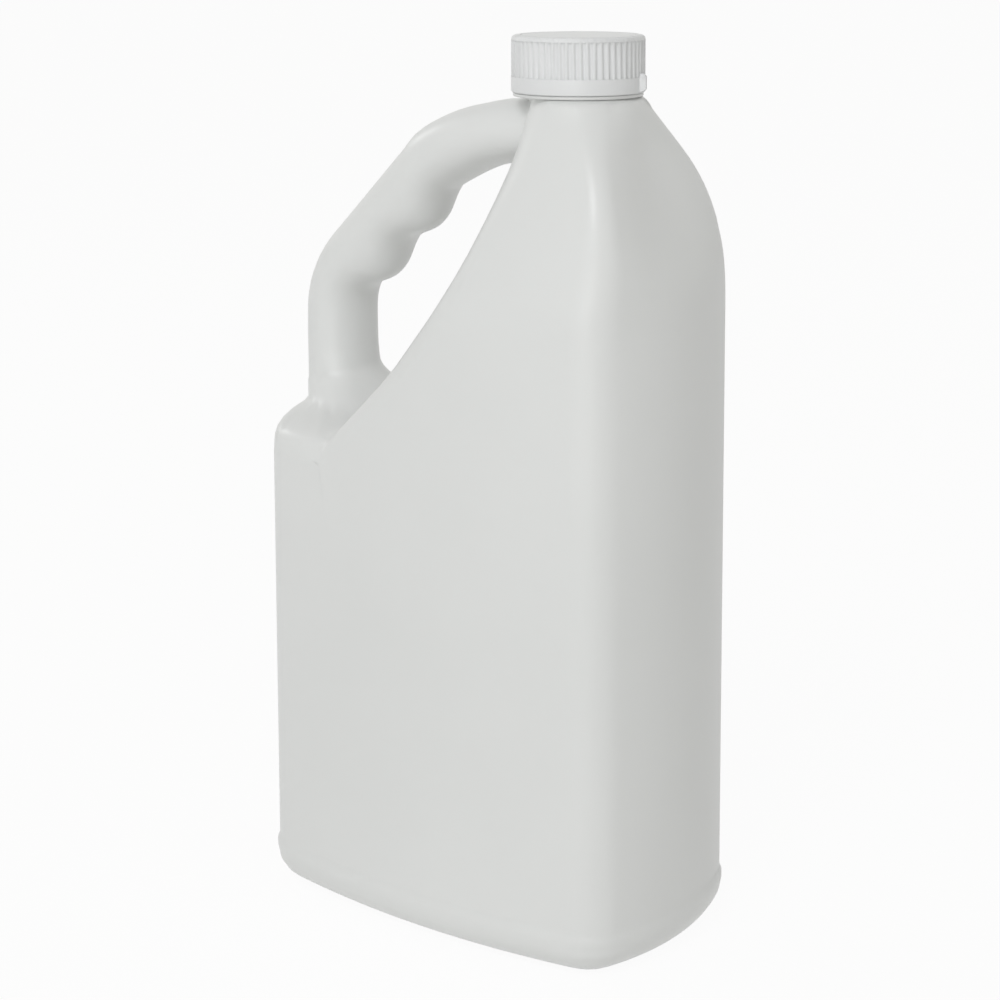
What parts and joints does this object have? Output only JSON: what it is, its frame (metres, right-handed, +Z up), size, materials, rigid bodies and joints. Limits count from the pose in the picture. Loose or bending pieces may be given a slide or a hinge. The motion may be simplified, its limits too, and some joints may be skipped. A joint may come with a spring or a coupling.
{
  "type": "handled plastic jug",
  "caption": "White blow-moulded plastic jug with a hollow corner handle, a fluted shoulder rising to an off-centre neck, and a ribbed screw cap.",
  "frame": {"origin": "on the ground, under the middle of the body's length and depth", "axes": "+Z up, +X along the body's length from the handle end to the neck end, +Y across its depth, away from the viewer's side"},
  "size_m": [0.1492, 0.089, 0.2829],
  "materials": {
    "body_plastic": "satin",
    "cap_plastic": "satin",
    "liner_foam": "matte"
  },
  "bodies": {
    "bottle": {"jug_body": "body_plastic"},
    "liner": {"cap_liner": "liner_foam"},
    "cap": {"screw_cap": "cap_plastic"}
  },
  "joints": [
    {"name": "cap_rise", "type": "slide", "parent": "bottle", "child": "liner", "axis": [0, 0, 1], "range_m": [0, 0.01694]},
    {"name": "cap_turn", "type": "hinge", "parent": "liner", "child": "cap", "pos_m": [0.0333, 0, 0.2734], "axis": [0, 0, 1], "range_deg": [0, 1440]}
  ],
  "couplings": [
    {"joint": "cap_rise", "follows": "cap_turn", "m_per_rad": 0.0006737}
  ]
}
